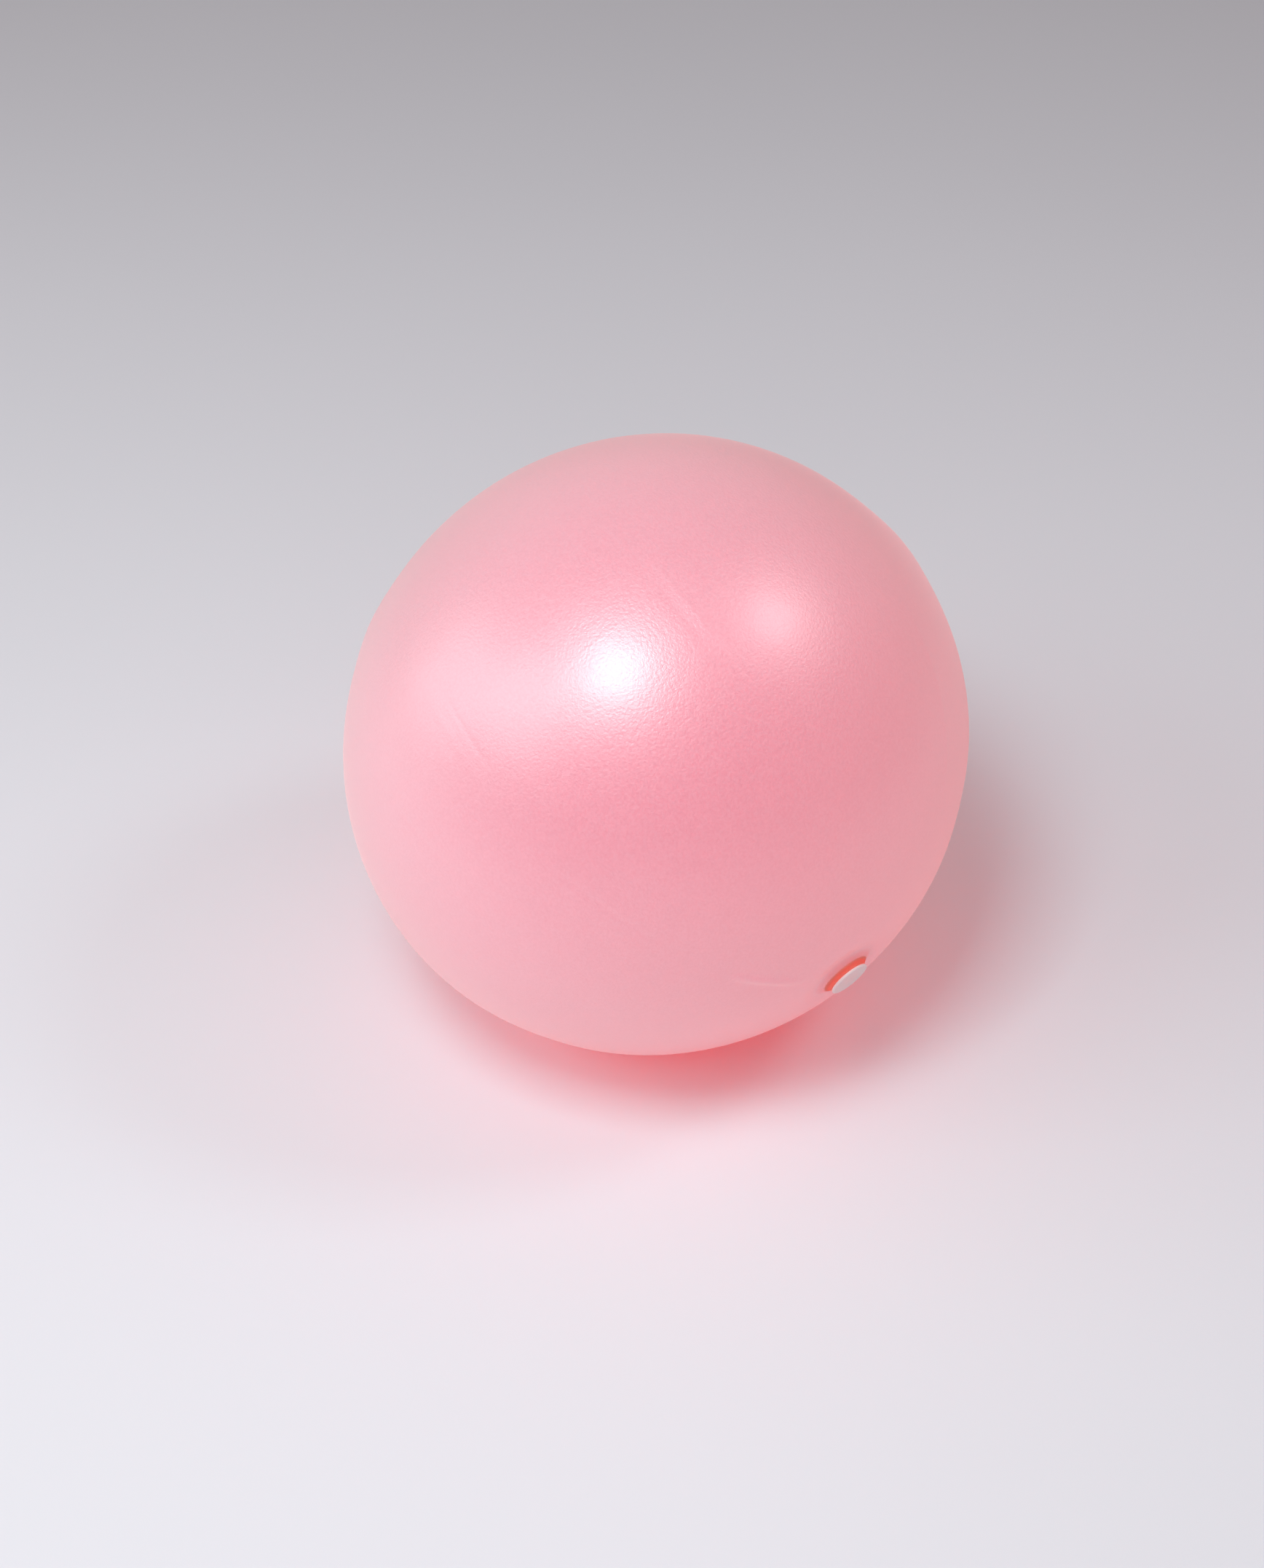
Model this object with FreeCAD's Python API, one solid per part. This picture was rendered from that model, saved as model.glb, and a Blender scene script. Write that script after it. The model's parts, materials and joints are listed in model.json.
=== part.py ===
"""Small exercise ball (a mini ball, about 25 cm): skin, valve seat and stopper plug.

Millimetres, +Z up. The ball stands on the floor at z = 0, its centre over the origin.
The valve looks to -Y and a little down. Each piece is drawn upright, with the valve's axis
along +Z and the ball's centre at the origin, and is then turned and raised into place.
"""
import FreeCAD, Part
import math
import os

# ---- driving dimensions -----------------------------------------------------------------
EQUATOR_RADIUS = 127.0      # widest circle of the skin, square to the valve axis
POLE_RADIUS = 122.3         # from the centre to the skin at either pole: the ball is oblate
WALL = 0.7                  # soft PVC skin
CONTACT_DEPTH = 1.9         # how far the ball's own weight flattens it on the floor
VALVE_DROP_DEG = 21.3       # how far below level the valve axis points

LAND_HEIGHT = 121.4         # the flat ring of skin that the valve seat is welded to
HOLE_RADIUS = 9.5           # the hole through the skin
HOLE_CLEARANCE = 0.05       # round the seat's neck

BOSS_TOP_RADIUS = 8.4
BOSS_BASE_RADIUS = 10.2
BOSS_HEIGHT = 2.5           # above the land
BOSS_FLARE = 0.5            # the boss widens by this much just above its base
BOSS_FLARE_HEIGHT = 0.8
BOSS_TOP_FILLET = 0.3
FLANGE_RADIUS = 15.0        # the seat's weld flange, under the skin
FLANGE_THICKNESS = 1.0
FLANGE_BEVEL = 0.4
SLEEVE_RADIUS = 6.6         # the tube that reaches into the ball
SLEEVE_LENGTH = 15.0        # from the boss's top to the sleeve's inner end
SLEEVE_DRAFT = 0.4          # how much thinner it is at that end
SLEEVE_FILLET = 0.8
BORE_RADIUS = 4.0
BORE_LEAD_IN = 0.6

HEAD_RADIUS = 8.45
HEAD_THICKNESS = 1.1
HEAD_TOP_FILLET = 0.45
HEAD_UNDER_FILLET = 0.3
STEM_LENGTH = 17.0
STEM_RADIUS = 3.45
RIB_RADIUS = 3.95           # runs in the bore with 0.05 mm to spare all round
RIB_DEPTHS = (4.0, 8.0, 12.0)
RIB_HALF_CREST = 0.3
RIB_HALF_FOOT = 0.9
TIP_RADIUS = 2.6
TIP_TAPER = 2.6
CORE_RADIUS = 1.6           # blind hole up the stem, which lets it give a little
CORE_DEPTH = 10.0
CORE_CONE = 0.8

VALVE_AXIS = FreeCAD.Vector(0, 0, 1)
CENTRE = FreeCAD.Vector(0, 0, 0)

# The ball's lowest point before the floor flattens it, and so how high its centre stands.
drop = math.radians(VALVE_DROP_DEG)
lowest = math.hypot(EQUATOR_RADIUS * math.cos(drop), POLE_RADIUS * math.sin(drop))
centre_height = lowest - CONTACT_DEPTH


def spheroid(equator, pole):
    """A solid ball, flattened along the valve axis."""
    flatten = FreeCAD.Matrix()
    flatten.scale(1, 1, pole / equator)
    return Part.makeSphere(equator).transformGeometry(flatten)


def slab(base):
    """A block wide enough to hold the whole ball, from this height up."""
    side = 4 * EQUATOR_RADIUS
    return Part.makeBox(side, side, side, FreeCAD.Vector(-side / 2, -side / 2, base))


def revolved(outline):
    """Turn a closed half section, given as (radius, height) corners, about the valve axis."""
    corners = [FreeCAD.Vector(radius, 0, height) for radius, height in outline]
    section = Part.Face(Part.makePolygon(corners + corners[:1]))
    return section.revolve(CENTRE, VALVE_AXIS, 360)


def rounded(shape, fillet, radius, height):
    """Fillet the circular edge that has this radius at this height on the valve axis."""
    for edge in shape.Edges:
        curve = edge.Curve
        if not isinstance(curve, Part.Circle):
            continue
        if abs(curve.Radius - radius) < 0.01 and abs(curve.Center.z - height) < 0.01:
            return shape.makeFillet(fillet, [edge])
    raise ValueError("no circular edge of radius %s at height %s" % (radius, height))


def turned(shape):
    """Point the valve axis to -Y and down. The ball's centre stays at the origin."""
    placed = shape.copy()
    placed.rotate(CENTRE, FreeCAD.Vector(1, 0, 0), 90 + VALVE_DROP_DEG)
    return placed


def raised(shape):
    """Lift the ball's centre from the origin to its height above the floor."""
    placed = shape.copy()
    placed.translate(FreeCAD.Vector(0, 0, centre_height))
    return placed


def skin_volume(inset):
    """The ball filled solid, this far inside its outer face, with both of its flats.

    One flat is the land round the valve, the other is pressed into the ball by the floor.
    """
    ball = spheroid(EQUATOR_RADIUS - inset, POLE_RADIUS - inset)
    ball = turned(ball.cut(slab(LAND_HEIGHT - inset)))
    return ball.common(slab(inset - centre_height))


# ---- ball_skin: a closed bag of soft PVC, with one hole for the valve seat --------------
hole = Part.makeCylinder(HOLE_RADIUS, EQUATOR_RADIUS)
ball_skin = raised(skin_volume(0).cut(skin_volume(WALL)).cut(turned(hole)))

# ---- valve_seat: a thick moulded insert, welded to the skin from inside -----------------
seat_top = LAND_HEIGHT + BOSS_HEIGHT
neck_radius = HOLE_RADIUS - HOLE_CLEARANCE
flange_top = LAND_HEIGHT - WALL
flange_bottom = flange_top - FLANGE_THICKNESS
sleeve_end = seat_top - SLEEVE_LENGTH
valve_seat = revolved([
    (BORE_RADIUS, sleeve_end),
    (BORE_RADIUS, seat_top - BORE_LEAD_IN),
    (BORE_RADIUS + BORE_LEAD_IN, seat_top),
    (BOSS_TOP_RADIUS, seat_top),
    (BOSS_BASE_RADIUS - BOSS_FLARE, LAND_HEIGHT + BOSS_FLARE_HEIGHT),
    (BOSS_BASE_RADIUS, LAND_HEIGHT),
    (neck_radius, LAND_HEIGHT),
    (neck_radius, flange_top),
    (FLANGE_RADIUS, flange_top),
    (FLANGE_RADIUS, flange_bottom + FLANGE_BEVEL),
    (FLANGE_RADIUS - FLANGE_BEVEL, flange_bottom),
    (SLEEVE_RADIUS, flange_bottom),
    (SLEEVE_RADIUS - SLEEVE_DRAFT, sleeve_end),
])
valve_seat = rounded(valve_seat, BOSS_TOP_FILLET, BOSS_TOP_RADIUS, seat_top)
valve_seat = rounded(valve_seat, SLEEVE_FILLET, SLEEVE_RADIUS, flange_bottom)
valve_seat = raised(turned(valve_seat))

# ---- stopper_plug: a thin round head on a ribbed, hollow stem ---------------------------
# The head's underside seats on the boss. The ribs are what grip the bore.
head_bottom = seat_top
head_top = head_bottom + HEAD_THICKNESS
tip = head_bottom - STEM_LENGTH
plug_outline = [
    (0, head_top),
    (HEAD_RADIUS, head_top),
    (HEAD_RADIUS, head_bottom),
    (STEM_RADIUS, head_bottom),
]
for depth in RIB_DEPTHS:
    rib = head_bottom - depth
    plug_outline += [
        (STEM_RADIUS, rib + RIB_HALF_FOOT),
        (RIB_RADIUS, rib + RIB_HALF_CREST),
        (RIB_RADIUS, rib - RIB_HALF_CREST),
        (STEM_RADIUS, rib - RIB_HALF_FOOT),
    ]
plug_outline += [
    (STEM_RADIUS, tip + TIP_TAPER),
    (TIP_RADIUS, tip),
    (CORE_RADIUS, tip),
    (CORE_RADIUS, tip + CORE_DEPTH - CORE_CONE),
    (0, tip + CORE_DEPTH),
]
stopper_plug = revolved(plug_outline)
stopper_plug = rounded(stopper_plug, HEAD_TOP_FILLET, HEAD_RADIUS, head_top)
stopper_plug = rounded(stopper_plug, HEAD_UNDER_FILLET, HEAD_RADIUS, head_bottom)
stopper_plug = raised(turned(stopper_plug))

# ---- export: one file per piece ---------------------------------------------------------
pieces = {"ball_skin": ball_skin, "valve_seat": valve_seat, "stopper_plug": stopper_plug}
os.makedirs("parts", exist_ok=True)
for name, shape in pieces.items():
    shape.exportStep("parts/%s.step" % name)
    box = shape.optimalBoundingBox()
    print("%s: %d solid, %.2f cm3, valid %s" % (name, len(shape.Solids), shape.Volume / 1000, shape.isValid()))
    print("    x %.2f to %.2f, y %.2f to %.2f, z %.2f to %.2f"
          % (box.XMin, box.XMax, box.YMin, box.YMax, box.ZMin, box.ZMax))
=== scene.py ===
"""A small exercise ball of pearly pink vinyl, on a pale studio floor.

Metres, in the part's own frame: +Z up, the floor at z = 0, the ball's centre over the origin,
the valve to -Y and a little down. Each piece of the ball is made upright, with the valve's axis
along +Z and the ball's centre at the origin, and is then tipped into place.
"""
import json
import math

import bpy
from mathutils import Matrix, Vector


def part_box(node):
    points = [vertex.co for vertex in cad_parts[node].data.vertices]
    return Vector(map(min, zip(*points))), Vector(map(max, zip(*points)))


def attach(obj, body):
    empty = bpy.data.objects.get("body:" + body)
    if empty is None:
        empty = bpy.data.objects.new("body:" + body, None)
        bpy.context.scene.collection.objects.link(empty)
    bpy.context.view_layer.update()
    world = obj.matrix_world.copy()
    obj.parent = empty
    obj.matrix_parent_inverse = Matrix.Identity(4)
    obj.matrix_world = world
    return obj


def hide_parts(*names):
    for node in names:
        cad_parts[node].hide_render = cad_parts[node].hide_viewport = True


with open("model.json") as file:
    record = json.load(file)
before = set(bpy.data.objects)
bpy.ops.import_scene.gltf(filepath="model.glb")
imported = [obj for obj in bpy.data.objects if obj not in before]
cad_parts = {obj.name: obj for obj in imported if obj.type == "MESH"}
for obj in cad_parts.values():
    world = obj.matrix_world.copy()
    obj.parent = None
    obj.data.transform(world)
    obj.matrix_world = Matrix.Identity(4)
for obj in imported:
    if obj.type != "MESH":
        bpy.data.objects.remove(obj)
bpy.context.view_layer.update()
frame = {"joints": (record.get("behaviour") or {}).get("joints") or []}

bpy.ops.object.select_all(action="DESELECT")

# ---- camera ------------------------------------------------------------------------------
# A 60 mm lens about a metre away looks down on the ball from its front left. The ball sits a
# little right of the frame's middle and above it, so the camera aims a little left and low.
#
# The skin's box gives its widest radius and its top. The radius at its poles is typed in, because
# the ball lies tipped in that box.
skin_low, skin_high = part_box("ball_skin")
valve_axis = Vector(frame["joints"][0]["axis"]).normalized()
valve_drop = math.asin(-valve_axis.z)
EQUATOR_RADIUS = (skin_high.x - skin_low.x) / 2
POLE_RADIUS = 0.1223
half_height = math.hypot(EQUATOR_RADIUS * math.cos(valve_drop), POLE_RADIUS * math.sin(valve_drop))
ball_centre = Vector((0, 0, skin_high.z - half_height))

VIEW_TURN = math.radians(-40.6)
VIEW_ELEVATION = math.radians(38)
VIEW_DISTANCE = 1.054
AIM_LEFT = 0.0097
AIM_LOW = 0.0156


def seen_from(turn, elevation):
    """The level-and-up direction of a viewpoint or a lamp; turn 0 is straight out to -Y."""
    level = math.cos(elevation)
    return Vector((math.sin(turn) * level, -math.cos(turn) * level, math.sin(elevation)))


to_camera = seen_from(VIEW_TURN, VIEW_ELEVATION)
to_right = Vector((math.cos(VIEW_TURN), math.sin(VIEW_TURN), 0))
to_top = to_camera.cross(to_right)
camera_place = ball_centre + to_camera * VIEW_DISTANCE
camera_aim = ball_centre - to_right * AIM_LEFT - to_top * AIM_LOW
camera_turn = (camera_aim - camera_place).to_track_quat("-Z", "Y").to_euler()
bpy.ops.object.camera_add(location=camera_place, rotation=camera_turn)
camera = bpy.context.object
camera.data.lens = 60
camera.data.sensor_width = 36
bpy.context.scene.camera = camera

# ---- ball skin ---------------------------------------------------------------------------
# One closed bag of soft translucent PVC, 0.7 mm thick, moulded round the valve insert. It is a
# little wider across its mould seam than from pole to pole, and it keeps faint creases from the
# way it was folded flat in its box.
WALL = 0.0007
SEGMENTS = 192
RINGS = 96
FAINTEST_SWELL = 0.004      # weights under this are left out of a swelling

# The mould seam: extra loops at these distances from the widest circle, and a very low ridge.
SEAM_LOOPS = (0.0004, 0.0008, 0.0015)
SEAM_HEIGHT = 0.000018
SEAM_WIDTH = 0.0005

# The valve's surround takes the place of the sphere's first rings: a hole, a collar where the
# skin turns up at its neck, and the shallow ring where it is welded to the insert.
CAP_RINGS = 6
SURROUND_RINGS = 30
HOLE_RADIUS = 0.0095
COLLAR_RISE = 0.0009
COLLAR_WIDTH = 0.0013
WELD_RADIUS = 0.014
WELD_WIDTH = 0.005
WELD_SINK = 0.0010

# How high up the foot's edge is softened, where the floor flattens the ball.
FOOT_SOFTEN_BELOW = 0.004

# Faces within this distance of a crease, and this share of its length past its ends, are cut small.
CREASE_REACH = 0.0045
CREASE_SPARE = 0.1
CREASE_CUTS = 4

# Creases run from the valve towards the far pole. Each has its start and end as (degrees round
# the valve, degrees from the valve), then its height and half width in millimetres.
CREASES = (
    ((104, 69), (104, 96), 0.11, 1.0),
    ((106, 72), (106, 94), -0.08, 1.6),
    ((147, 86), (145, 108), -0.15, 1.0),
    ((150, 87), (148, 108), 0.11, 1.6),
    ((153, 45), (152, 70), -0.10, 1.4),
    ((166, 74), (169, 108), -0.10, 1.5),
    ((49, 33), (61, 73), 0.14, 2.2),
    ((104, 20), (104, 46), 0.06, 1.6),
    ((154, 13), (156, 30), 0.9, 2.0),
    ((-38, 58), (-34, 88), 0.14, 1.2),
    ((-72, 78), (-74, 104), -0.14, 1.2),
    ((-120, 44), (-117, 72), 0.12, 1.6),
    ((12, 92), (8, 118), -0.12, 1.3),
    ((205, 96), (208, 126), 0.12, 1.5),
    ((-95, 112), (-98, 138), -0.10, 1.4),
    ((75, 112), (72, 140), 0.10, 1.6),
)
# Soft swellings and dents: (degrees round the valve, degrees from it), then height and reach in mm.
DENTS = (
    ((38, 88), 0.9, 16),
    ((172, 143), 0.8, 15),
    ((120, 128), -0.9, 22),
    ((-60, 70), -0.6, 26),
    ((215, 60), -0.5, 24),
    ((20, 40), -0.5, 20),
)


def make_only(piece):
    """Leave edit mode and make this the one selected piece."""
    if bpy.context.object and bpy.context.object.mode != "OBJECT":
        bpy.ops.object.mode_set(mode="OBJECT")
    bpy.ops.object.select_all(action="DESELECT")
    piece.select_set(True)
    bpy.context.view_layer.objects.active = piece


def pick_faces(piece, wanted):
    """Enter edit mode with only the faces selected whose middle passes the test."""
    make_only(piece)
    bpy.ops.object.mode_set(mode="EDIT")
    bpy.ops.mesh.select_mode(type="FACE")
    bpy.ops.mesh.select_all(action="DESELECT")
    bpy.ops.object.mode_set(mode="OBJECT")
    for face in piece.data.polygons:
        face.select = wanted(face.center)
    bpy.ops.object.mode_set(mode="EDIT")


def apply_modifier(piece, kind, **settings):
    """Add a modifier, give it its settings, and apply it."""
    make_only(piece)
    modifier = piece.modifiers.new(kind.title(), kind)
    for setting, value in settings.items():
        setattr(modifier, setting, value)
    bpy.ops.object.modifier_apply(modifier=modifier.name)


def round_and_from_valve(place):
    """Where a point lies, as degrees round the valve and degrees from it."""
    return math.degrees(math.atan2(place.y, place.x)), math.degrees(place.angle(Vector((0, 0, 1))))


def on_round(around, away):
    """The point of the ball so many degrees round the valve and so many from it."""
    around, away = math.radians(around), math.radians(away)
    level = math.sin(away)
    return Vector((math.cos(around) * level, math.sin(around) * level, math.cos(away))) * EQUATOR_RADIUS


def off_crease(place, start, end):
    """A point's distance across a crease, in metres, and how far along the crease it lies."""
    around, away = round_and_from_valve(place)
    along = (away - start[1]) / (end[1] - start[1])
    middle = start[0] + (end[0] - start[0]) * along
    across = (around - middle + 180) % 360 - 180
    return math.radians(across) * math.sin(math.radians(away)) * EQUATOR_RADIUS, along


def fading(distance, reach):
    """1 at no distance, falling away smoothly: a third of it is left at reach."""
    return math.exp(-((distance / reach) ** 2))


def crease_strength(place, start, end, width):
    """How much of a crease's height a point has: all along its middle, none at its ends."""
    across, along = off_crease(place, start, end)
    if not 0 < along < 1:
        return 0
    return math.sin(math.pi * along) ** 0.7 * fading(across, width)


def near_a_crease(place):
    """Whether a point lies where a crease needs smaller faces."""
    for start, end, height, width in CREASES:
        across, along = off_crease(place, start, end)
        if -CREASE_SPARE < along < 1 + CREASE_SPARE and abs(across) < CREASE_REACH:
            return True
    return False


def swell(piece, name, height, strength_at):
    """Push the surface out by height, where strength_at gives each point 0 to 1 of it."""
    group = piece.vertex_groups.new(name=name)
    for point in piece.data.vertices:
        strength = strength_at(point.co)
        if strength > FAINTEST_SWELL:
            group.add([point.index], strength, "REPLACE")
    apply_modifier(piece, "DISPLACE", vertex_group=name, strength=height, mid_level=0)
    piece.vertex_groups.remove(piece.vertex_groups[name])


def tip_into_place(piece):
    """Point the piece's +Z along the valve's axis and move its centre to the ball's."""
    make_only(piece)
    piece.rotation_euler.x = math.pi / 2 + valve_drop
    piece.location = ball_centre
    bpy.ops.object.transform_apply(location=True, rotation=True, scale=True)


def surround_height(radius):
    """The ball's own curve, drawn in by the weld round the valve, with a collar at its neck."""
    curve = POLE_RADIUS * math.sqrt(1 - (radius / EQUATOR_RADIUS) ** 2)
    sink = WELD_SINK * fading(radius - WELD_RADIUS, WELD_WIDTH)
    return curve - sink + COLLAR_RISE * fading(radius - HOLE_RADIUS, COLLAR_WIDTH)


bpy.ops.mesh.primitive_uv_sphere_add(segments=SEGMENTS, ring_count=RINGS, radius=1)
skin = bpy.context.object
skin.name = "ball_skin_vinyl"

# Loops for the mould seam and small faces along the creases, all brought back onto the round.
bpy.ops.object.mode_set(mode="EDIT")
for loop in SEAM_LOOPS:
    for side in (1, -1):
        bpy.ops.mesh.select_all(action="SELECT")
        seam_side = (0, 0, side * loop / POLE_RADIUS)
        bpy.ops.mesh.bisect(plane_co=seam_side, plane_no=(0, 0, 1))
pick_faces(skin, near_a_crease)
bpy.ops.mesh.subdivide(number_cuts=CREASE_CUTS)
bpy.ops.object.mode_set(mode="OBJECT")
apply_modifier(skin, "CAST", cast_type="SPHERE", factor=1, radius=0, size=1, use_radius_as_size=False)
skin.scale = (EQUATOR_RADIUS, EQUATOR_RADIUS, POLE_RADIUS)
bpy.ops.object.transform_apply(location=False, rotation=False, scale=True)

# The valve's surround: the cap is cut away and drawn in again, ring by ring, to the hole.
cap_turn = CAP_RINGS * math.pi / RINGS
ring_radius = EQUATOR_RADIUS * math.sin(cap_turn)
ring_height = POLE_RADIUS * math.cos(cap_turn)
pick_faces(skin, lambda place: place.z > ring_height)
bpy.ops.mesh.delete(type="FACE")
bpy.ops.mesh.select_mode(type="EDGE")
bpy.ops.mesh.select_non_manifold(extend=False, use_wire=False, use_multi_face=False,
                                 use_non_contiguous=False, use_verts=False)
inward = (ring_radius - HOLE_RADIUS) / SURROUND_RINGS
for ring in range(SURROUND_RINGS):
    next_radius = ring_radius - inward
    next_height = surround_height(next_radius)
    bpy.ops.mesh.extrude_edges_move()
    bpy.ops.transform.resize(value=(next_radius / ring_radius, next_radius / ring_radius, 1))
    bpy.ops.transform.translate(value=(0, 0, next_height - ring_height))
    ring_radius = next_radius
    ring_height = next_height
bpy.ops.object.mode_set(mode="OBJECT")

for number, (start, end, height, width) in enumerate(CREASES):
    swell(skin, "crease_%02d" % number, height / 1000,
          lambda place: crease_strength(place, start, end, width / 1000))
for number, (middle, height, radius) in enumerate(DENTS):
    dent_middle = on_round(*middle)
    swell(skin, "dent_%02d" % number, height / 1000,
          lambda place: fading((place - dent_middle).length, radius / 1000))
swell(skin, "mould_seam", SEAM_HEIGHT, lambda place: fading(place.z, SEAM_WIDTH))
tip_into_place(skin)


def pick_points_below(piece, level):
    """Enter edit mode with only the points selected that lie under this level."""
    make_only(piece)
    bpy.ops.object.mode_set(mode="EDIT")
    bpy.ops.mesh.select_mode(type="VERT")
    bpy.ops.mesh.select_all(action="DESELECT")
    bpy.ops.object.mode_set(mode="OBJECT")
    for point in piece.data.vertices:
        point.select = point.co.z < level
    bpy.ops.object.mode_set(mode="EDIT")


def press_onto_floor(piece):
    """Flatten all that lies under the floor onto it."""
    pick_points_below(piece, 0)
    bpy.ops.transform.resize(value=(1, 1, 0), center_override=(0, 0, 0))


# The foot: the ball's own weight presses it flat, and its edge stays soft.
press_onto_floor(skin)
pick_points_below(skin, FOOT_SOFTEN_BELOW)
bpy.ops.mesh.vertices_smooth(factor=0.5, repeat=4)
press_onto_floor(skin)
bpy.ops.object.mode_set(mode="OBJECT")

apply_modifier(skin, "SOLIDIFY", thickness=WALL, offset=-1, use_even_offset=True)
make_only(skin)
bpy.ops.object.shade_smooth_by_angle(angle=math.radians(40))


class Shade:
    """A node socket that takes part in sums, so that a pattern reads as an expression."""

    def __init__(self, nodes, socket):
        self.nodes = nodes
        self.socket = socket

    def joined(self, operation, other, swapped=False):
        pair = (other, self) if swapped else (self, other)
        return self.nodes.add("ShaderNodeMath", {"operation": operation}, {0: pair[0], 1: pair[1]})

    def __add__(self, other):
        return self.joined("ADD", other)

    def __radd__(self, other):
        return self.joined("ADD", other, True)

    def __sub__(self, other):
        return self.joined("SUBTRACT", other)

    def __rsub__(self, other):
        return self.joined("SUBTRACT", other, True)

    def __mul__(self, other):
        return self.joined("MULTIPLY", other)

    def __rmul__(self, other):
        return self.joined("MULTIPLY", other, True)


class Finish:
    """A material and its nodes. Every node is added by one call."""

    def __init__(self, name):
        self.material = bpy.data.materials.new(name)
        self.material.use_nodes = True
        self.tree = self.material.node_tree
        self.tree.nodes.clear()

    def add(self, kind, settings=None, sockets=None, out=0):
        """Add a node: its settings first, then a value or a link for each named socket."""
        node = self.tree.nodes.new(kind)
        for setting, value in (settings or {}).items():
            setattr(node, setting, value)
        for name, value in (sockets or {}).items():
            if isinstance(value, Shade):
                self.tree.links.new(value.socket, node.inputs[name])
            else:
                node.inputs[name].default_value = value
        return Shade(self, node.outputs[out])

    def place(self):
        """The surface's own Object coordinates."""
        return self.add("ShaderNodeTexCoord", out="Object")

    def noise(self, size, detail=2, roughness=0.5):
        """Soft noise whose blobs are about size metres across."""
        return self.add("ShaderNodeTexNoise", {},
                        {"Vector": self.place(), "Scale": 1 / size, "Detail": detail,
                         "Roughness": roughness}, out="Fac")

    def tint(self, amount, first, second):
        """A colour between two, by amount."""
        return self.add("ShaderNodeMix", {"data_type": "RGBA"}, {0: amount, 6: first, 7: second}, out=2)

    def lit_through(self, surface, colour):
        """A thin wall that lamp rays pass, tinted, so that what lies behind it is lit too."""
        tinted = self.add("ShaderNodeBsdfTransparent", {}, {"Color": colour})
        lamp_ray = self.add("ShaderNodeLightPath", out="Is Shadow Ray")
        return self.add("ShaderNodeMixShader", {}, {0: lamp_ray, 1: surface, 2: tinted})

    def show(self, surface):
        """Put a shader on the surface."""
        output = self.tree.nodes.new("ShaderNodeOutputMaterial")
        self.tree.links.new(surface.socket, output.inputs["Surface"])


def rgba(red, green, blue):
    return (red, green, blue, 1)


vinyl = Finish("pearl_vinyl")
thick = vinyl.noise(0.045, 3)
cloud = vinyl.noise(0.012, 2)
grain = vinyl.noise(0.0011, 2, 0.6)
uneven = thick * 0.6 + cloud * 0.3 + (grain - 0.45) * 2.2
pink = vinyl.tint(uneven, rgba(0.80, 0.44, 0.60), rgba(0.89, 0.57, 0.73))
edge_on = vinyl.add("ShaderNodeLayerWeight", {}, {"Blend": 0.5}, out="Facing")
# Close to the valve the skin lies on the insert's flange. There its colour is turned coral: a painted
# glow that stands in for light coming through the coral insert, and that covers the shade the flange
# casts on the skin from inside.
valve_middle = ball_centre + valve_axis * POLE_RADIUS
from_valve = vinyl.add("ShaderNodeVectorMath", {"operation": "DISTANCE"},
                       {0: vinyl.place(), 1: tuple(valve_middle)}, out="Value")
weld = vinyl.add("ShaderNodeMapRange", {}, {"Value": from_valve, "From Min": HOLE_RADIUS + 0.0008,
                                            "From Max": WELD_RADIUS, "To Min": 1, "To Max": 0})
# At grazing angles the pink turns pale lilac, except close to the valve: a painted sheen that stands in
# for the reflection of the bright floor and room at the ball's rim.
pink_with_painted_rim_sheen = vinyl.tint(edge_on * (1 - weld), pink, rgba(0.80, 0.88, 0.94))
# The painted coral glow near the valve is laid over that colour.
colour = vinyl.tint(weld * 0.65, pink_with_painted_rim_sheen, rgba(0.96, 0.42, 0.36))
bump = vinyl.add("ShaderNodeBump", {}, {"Strength": 0.8, "Distance": 0.00018, "Height": grain},
                 out="Normal")
pearl = vinyl.add("ShaderNodeBsdfPrincipled", {}, {
    "Base Color": colour,
    "Roughness": 0.37 + grain * 0.10,
    "IOR": 2.12,
    "Specular IOR Level": 1.0,
    "Coat Weight": 0.3,
    "Coat Roughness": 0.20,
    "Sheen Weight": 0.35,
    "Sheen Roughness": 0.4,
    "Normal": bump,
})
glow = vinyl.add("ShaderNodeBsdfTranslucent", {}, {"Color": rgba(1.0, 0.25, 0.21)})
wall = vinyl.add("ShaderNodeMixShader", {}, {0: 0.375 - edge_on * 0.10, 1: pearl, 2: glow})

# What one face of the wall leaves of a lamp's light. Red goes through, green and blue hardly.
FACE_TINT = rgba(0.72, 0.16, 0.10)
vinyl.show(vinyl.lit_through(wall, FACE_TINT))

# The inner face is matt and passes on nearly all of the light, so that the inside is filled.
lining = Finish("vinyl_inner_face")
lining_glow = lining.add("ShaderNodeBsdfTranslucent", {}, {"Color": rgba(1.0, 0.97, 0.97)})
lining.show(lining.lit_through(lining_glow, FACE_TINT))

skin.data.materials.clear()
skin.data.materials.append(vinyl.material)
skin.data.materials.append(lining.material)
for face in skin.data.polygons:
    outward = face.normal.dot(Vector(face.center) - ball_centre)
    face.material_index = 1 if outward < 0 else 0

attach(skin, "ball")
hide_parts("ball_skin")

# ---- valve seat --------------------------------------------------------------------------
# The insert that the plug pushes into: one thick moulding of soft coral PVC. Its flange is welded
# to the skin from inside, its neck comes up through the hole and spreads a little over the skin,
# and a sleeve with the bore reaches into the ball.
TURNED_SEGMENTS = 96

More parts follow.
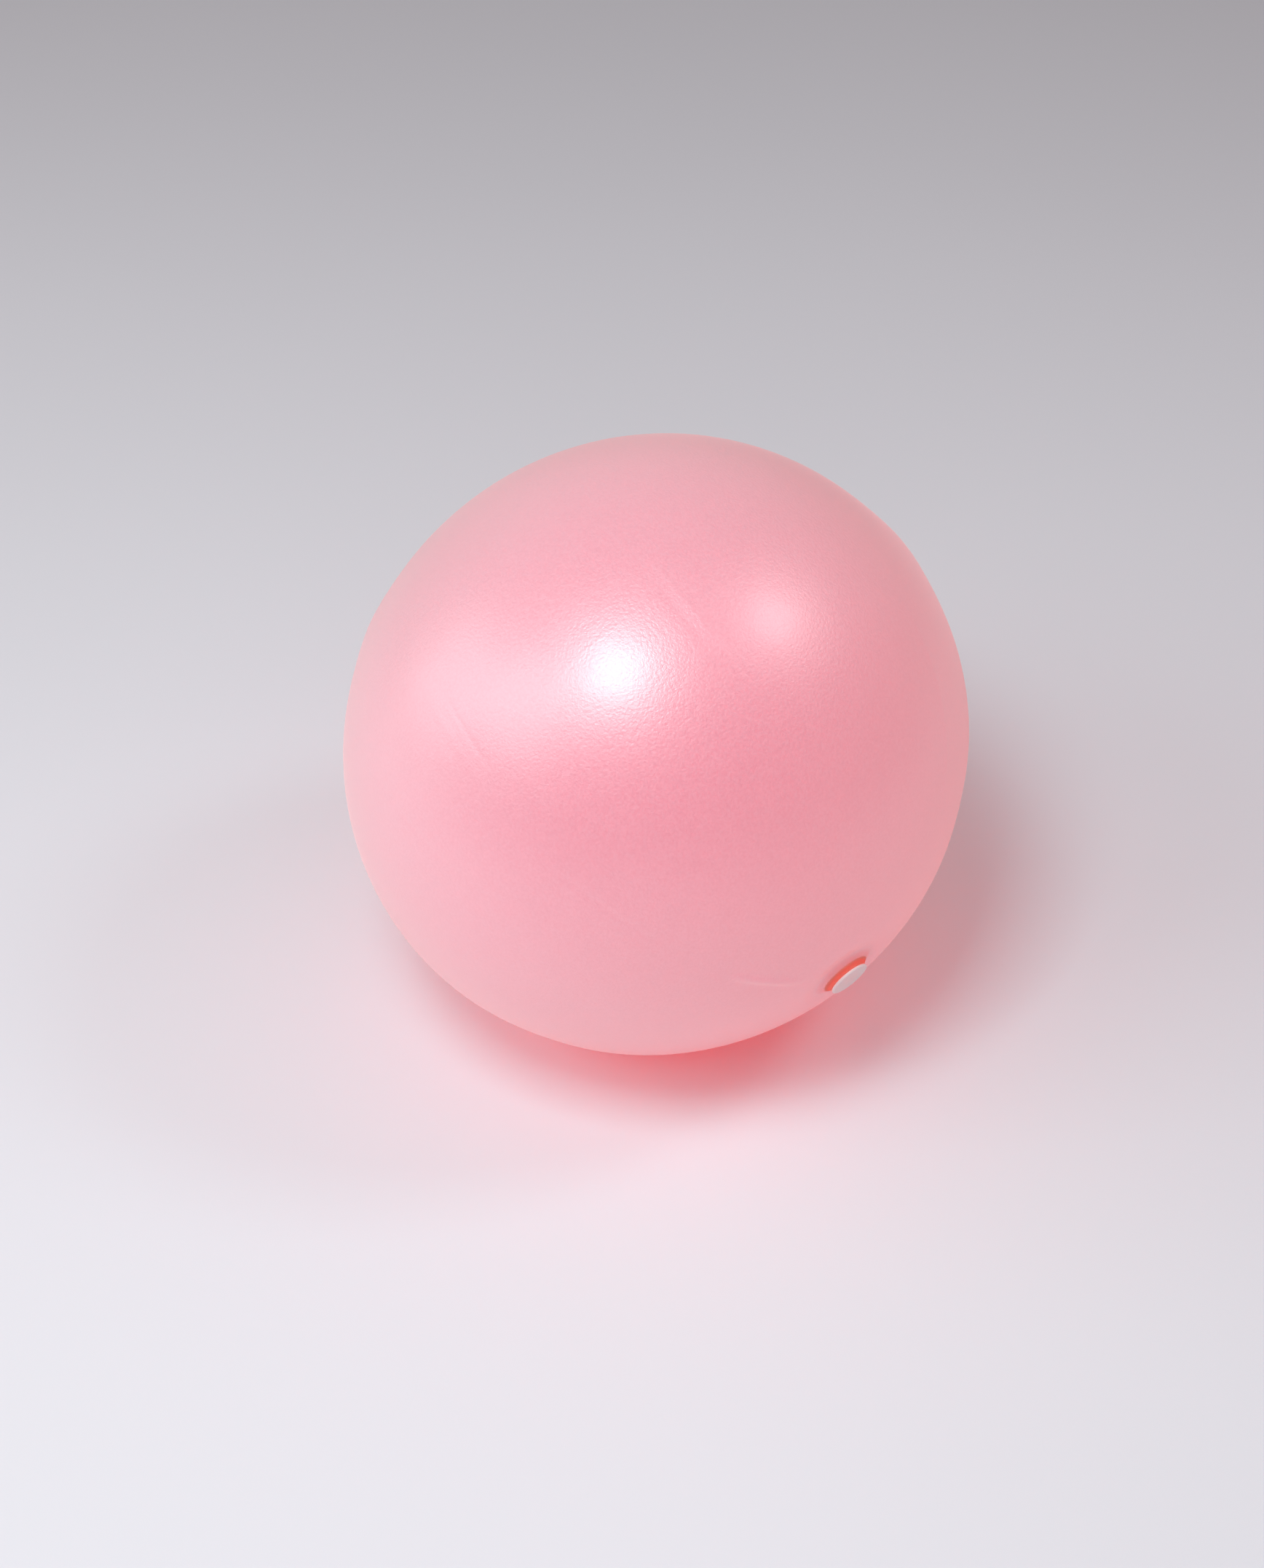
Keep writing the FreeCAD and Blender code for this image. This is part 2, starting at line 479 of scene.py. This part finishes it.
# Radius and height above the ball's centre, in millimetres, once round the wall.
SEAT_OUTLINE = (
    (4.0, 109.2), (4.0, 114.0), (4.0, 119.0), (4.0, 123.2), (4.15, 123.55), (4.6, 123.86),
    (5.2, 123.9), (7.9, 123.9), (8.22, 123.86), (8.42, 123.74), (8.5, 123.5), (8.58, 123.2),
    (8.74, 122.92), (9.0, 122.7), (9.4, 122.5), (9.85, 122.3), (10.3, 121.95), (10.1, 121.85),
    (9.42, 121.95), (9.42, 120.8), (9.75, 120.66), (10.8, 120.42), (12.0, 120.1), (13.2, 119.86),
    (14.4, 119.74), (14.8, 119.68), (15.0, 119.45), (15.0, 119.1), (14.8, 118.86), (14.4, 118.76),
    (13.0, 118.92), (11.0, 119.2), (9.0, 119.42), (7.8, 119.45), (7.1, 119.3), (6.7, 118.9),
    (6.58, 118.2), (6.4, 114.0), (6.22, 109.6), (6.08, 109.2), (5.7, 108.95), (5.2, 108.9),
    (4.5, 108.9), (4.12, 108.98), (4.0, 109.2),
)


def turned_ring(name, outline):
    """Draw an outline ring by ring about the valve's axis; one that ends where it began closes."""
    radius, height = outline[0]
    bpy.ops.mesh.primitive_circle_add(vertices=TURNED_SEGMENTS, radius=radius / 1000,
                                      location=(0, 0, height / 1000))
    piece = bpy.context.object
    piece.name = name
    bpy.ops.object.transform_apply(location=True, rotation=True, scale=True)
    bpy.ops.object.mode_set(mode="EDIT")
    bpy.ops.mesh.select_all(action="SELECT")
    for next_radius, next_height in outline[1:]:
        growth = next_radius / radius
        bpy.ops.mesh.extrude_edges_move()
        bpy.ops.transform.resize(value=(growth, growth, 1))
        bpy.ops.transform.translate(value=(0, 0, (next_height - height) / 1000))
        radius, height = next_radius, next_height
    bpy.ops.mesh.select_all(action="SELECT")
    bpy.ops.mesh.remove_doubles(threshold=0.000002)
    bpy.ops.mesh.normals_make_consistent(inside=False)
    bpy.ops.object.mode_set(mode="OBJECT")
    return piece


bpy.ops.object.select_all(action="DESELECT")
seat = turned_ring("valve_seat_moulding", SEAT_OUTLINE)
tip_into_place(seat)
bpy.ops.object.shade_smooth_by_angle(angle=math.radians(40))

coral = Finish("coral_soft_pvc")
coral_cloud = coral.noise(0.004, 2)
coral_peel = coral.noise(0.0006, 2, 0.55)
coral_colour = coral.tint(coral_cloud, rgba(0.82, 0.42, 0.34), rgba(0.88, 0.50, 0.41))
coral_bump = coral.add("ShaderNodeBump", {}, {"Strength": 0.5, "Distance": 0.00005,
                                              "Height": coral_peel}, out="Normal")
coral_face = coral.add("ShaderNodeBsdfPrincipled", {}, {
    "Base Color": coral_colour,
    "Roughness": 0.34 + coral_peel * 0.12,
    "Normal": coral_bump,
})
coral_glow = coral.add("ShaderNodeBsdfTranslucent", {}, {"Color": rgba(0.92, 0.68, 0.59)})
coral_wall = coral.add("ShaderNodeMixShader", {}, {0: 0.75, 1: coral_face, 2: coral_glow})
coral.show(coral.lit_through(coral_wall, rgba(0.92, 0.58, 0.48)))
seat.data.materials.append(coral.material)

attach(seat, "ball")
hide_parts("valve_seat")

# ---- stopper plug ------------------------------------------------------------------------
# A push-in plug of white polyethylene: a thin round head, slightly dished, on a ribbed hollow
# stem. The head seats on the valve's top and the three ribs grip its bore.
PLUG_OUTLINE = (
    (0.04, 124.93), (0.35, 124.93), (0.5, 124.98), (0.7, 124.98), (0.85, 124.93), (1.1, 124.86),
    (2.2, 124.86), (4.6, 124.87), (5.8, 124.9), (6.6, 124.96), (7.2, 125.0), (7.75, 125.0),
    (8.1, 124.93), (8.34, 124.76), (8.44, 124.5), (8.45, 124.25), (8.38, 124.05), (8.2, 123.94),
    (7.9, 123.91), (4.2, 123.91), (3.75, 123.86), (3.52, 123.7), (3.45, 123.4), (3.45, 120.85),
    (3.6, 120.65), (3.85, 120.32), (3.92, 120.15), (3.95, 119.9), (3.92, 119.65), (3.85, 119.48),
    (3.6, 119.15), (3.45, 118.95), (3.45, 116.85), (3.6, 116.65), (3.85, 116.32), (3.92, 116.15),
    (3.95, 115.9), (3.92, 115.65), (3.85, 115.48), (3.6, 115.15), (3.45, 114.95), (3.45, 112.85),
    (3.6, 112.65), (3.85, 112.32), (3.92, 112.15), (3.95, 111.9), (3.92, 111.65), (3.85, 111.48),
    (3.6, 111.15), (3.45, 110.95), (3.45, 109.6), (3.36, 109.2), (2.75, 107.3), (2.55, 107.0),
    (2.3, 106.9), (1.85, 106.9), (1.66, 106.98), (1.6, 107.2), (1.6, 116.0), (1.4, 116.4),
    (0.8, 116.8), (0.04, 116.9),
)


def close_pole(piece, height):
    """Merge the small ring on the valve's axis at this height, in millimetres, to one point."""
    make_only(piece)
    bpy.ops.object.mode_set(mode="EDIT")
    bpy.ops.mesh.select_mode(type="VERT")
    bpy.ops.mesh.select_all(action="DESELECT")
    bpy.ops.object.mode_set(mode="OBJECT")
    for point in piece.data.vertices:
        point.select = point.co.xy.length < 0.0001 and abs(point.co.z * 1000 - height) < 0.01
    bpy.ops.object.mode_set(mode="EDIT")
    bpy.ops.mesh.merge(type="CENTER")
    bpy.ops.mesh.select_all(action="SELECT")
    bpy.ops.mesh.normals_make_consistent(inside=False)
    bpy.ops.object.mode_set(mode="OBJECT")


bpy.ops.object.select_all(action="DESELECT")
plug = turned_ring("stopper_plug_moulding", PLUG_OUTLINE)
for end in (PLUG_OUTLINE[0], PLUG_OUTLINE[-1]):
    close_pole(plug, end[1])
tip_into_place(plug)
bpy.ops.object.shade_smooth_by_angle(angle=math.radians(35))

white = Finish("white_polyethylene")
upright = white.add("ShaderNodeMapping", {"vector_type": "TEXTURE"}, {
    "Vector": white.place(), "Location": tuple(ball_centre),
    "Rotation": (math.pi / 2 + valve_drop, 0, 0)})
turning = white.add("ShaderNodeTexWave", {"wave_type": "RINGS", "rings_direction": "Z"}, {
    "Vector": upright, "Scale": 900, "Distortion": 1.5, "Detail": 1, "Detail Scale": 2}, out="Fac")
scuffs = white.noise(0.0009, 4, 0.7)
white_cloud = white.noise(0.005, 2)
white_colour = white.tint(white_cloud, rgba(0.92, 0.89, 0.90), rgba(0.96, 0.94, 0.94))
white_bump = white.add("ShaderNodeBump", {}, {"Strength": 0.35, "Distance": 0.00003,
                                              "Height": turning * 0.4 + scuffs}, out="Normal")
white_face = white.add("ShaderNodeBsdfPrincipled", {}, {
    "Base Color": white_colour,
    "Roughness": 0.36 + scuffs * 0.16,
    "Normal": white_bump,
})
white_glow = white.add("ShaderNodeBsdfTranslucent", {}, {"Color": rgba(0.98, 0.94, 0.94)})
white.show(white.add("ShaderNodeMixShader", {}, {0: 0.3, 1: white_face, 2: white_glow}))
plug.data.materials.append(white.material)

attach(plug, "plug")
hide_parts("stopper_plug")

# ---- floor and lamps ---------------------------------------------------------------------
# A sheet of pale studio paper. The key softbox hangs high and a little left, a small lamp stands
# high on the right, a window and a fill light the left side, and a big panel behind the camera
# lights from the front without showing as a highlight.
bpy.ops.mesh.primitive_plane_add(size=12, location=(0, 0, 0))
floor = bpy.context.object
floor.name = "studio_floor"
paper = Finish("studio_floor")
paper_tint = paper.tint(paper.noise(0.5, 2), rgba(0.755, 0.76, 0.80), rgba(0.785, 0.79, 0.83))
paper.show(paper.add("ShaderNodeBsdfPrincipled", {}, {"Base Color": paper_tint, "Roughness": 0.55,
                                                      "Specular IOR Level": 0.3}))
floor.data.materials.append(paper.material)


def softbox(name, turn, elevation, distance, width, height, power, colour):
    """A lamp panel that faces the ball. turn is counted from the camera, to its right."""
    towards = seen_from(VIEW_TURN + math.radians(turn), math.radians(elevation))
    bpy.ops.object.light_add(type="AREA", location=ball_centre + towards * distance,
                             rotation=towards.to_track_quat("Z", "Y").to_euler())
    lamp = bpy.context.object
    lamp.name = name
    lamp.data.shape = "RECTANGLE"
    lamp.data.size = width
    lamp.data.size_y = height
    lamp.data.energy = power
    lamp.data.color = colour
    return lamp


softbox("key_softbox", -24.4, 60, 1.3, 0.40, 0.40, 8.6, (0.90, 0.97, 0.98))
softbox("right_lamp", 87.5, 53, 1.4, 0.34, 0.34, 3.2, (1.0, 0.90, 0.93))
softbox("left_window", -92.3, 20, 1.6, 0.9, 0.9, 4.3, (0.97, 0.97, 1.0))
softbox("left_fill", -60, 35, 1.8, 0.9, 0.9, 7.0, (0.99, 0.97, 0.97))
front_fill = softbox("front_fill", 0, 35, 2.6, 2.0, 2.0, 6.0, (0.88, 1.0, 1.0))
front_fill.visible_glossy = False

# Light goes many times round inside a translucent ball before it comes out as its red glow.
light_paths = bpy.context.scene.cycles
light_paths.max_bounces = 24
light_paths.diffuse_bounces = 16
light_paths.transmission_bounces = 24
world = bpy.data.worlds.new("studio_air")
bpy.context.scene.world = world
world.use_nodes = True
world.node_tree.nodes["Background"].inputs["Color"].default_value = (1.0, 0.90, 0.91, 1)
world.node_tree.nodes["Background"].inputs["Strength"].default_value = 0.28
bpy.context.scene.view_settings.view_transform = "Standard"
